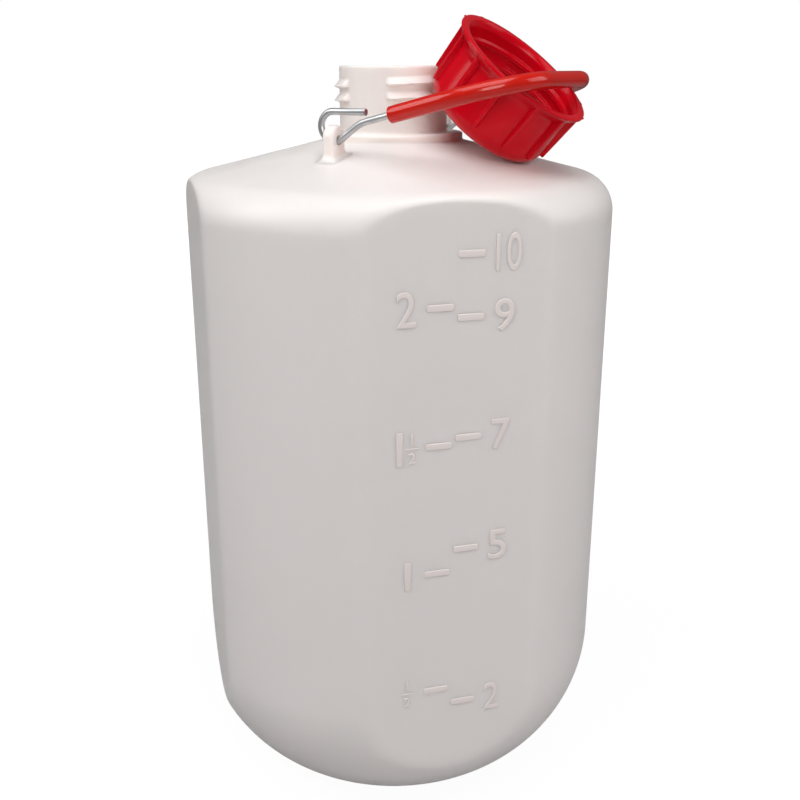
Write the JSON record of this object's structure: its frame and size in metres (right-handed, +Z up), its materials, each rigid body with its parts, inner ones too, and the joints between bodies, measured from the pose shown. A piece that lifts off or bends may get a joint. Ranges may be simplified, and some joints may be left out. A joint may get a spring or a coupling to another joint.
{
  "type": "plastic carboy",
  "caption": "Blown plastic carboy with four flats, a rounded heel and a narrow straight neck, a wire bail with a grip sleeve, and a ribbed screw cap set beside the neck.",
  "frame": {"origin": "middle of the base on the ground, on the bottle's axis", "axes": "+Z up along the bottle's axis through the neck; +X towards the side that the bail and the cap lie on; the two bail lugs are at +Y and -Y"},
  "size_m": [0.2258, 0.2258, 0.4032],
  "materials": {
    "natural_plastic": "natural unpigmented polyethylene, satin, slightly translucent",
    "zinc_wire": "dull galvanised wire with bare cut ends",
    "sleeve_plastic": "soft red vinyl tube, satin",
    "cap_plastic": "moulded red plastic, glossy",
    "liner_foam": "white closed-cell foam, matt"
  },
  "bodies": {
    "bottle": {"bottle": "natural_plastic"},
    "bail": {"bail_wire": "zinc_wire", "grip_sleeve": "sleeve_plastic"},
    "cap": {"screw_cap": "cap_plastic", "cap_liner": "liner_foam"}
  },
  "joints": [
    {"name": "bail_swing", "type": "hinge", "parent": "bottle", "child": "bail", "pos_m": [0, 0, 0.353], "axis": [0, -1, 0], "range_deg": [0, 145]},
    {"name": "cap_lift", "type": "hinge", "parent": "bottle", "child": "cap", "pos_m": [0.0902, 0, 0.37372], "axis": [0, 1, 0], "range_deg": [0, 90]}
  ]
}
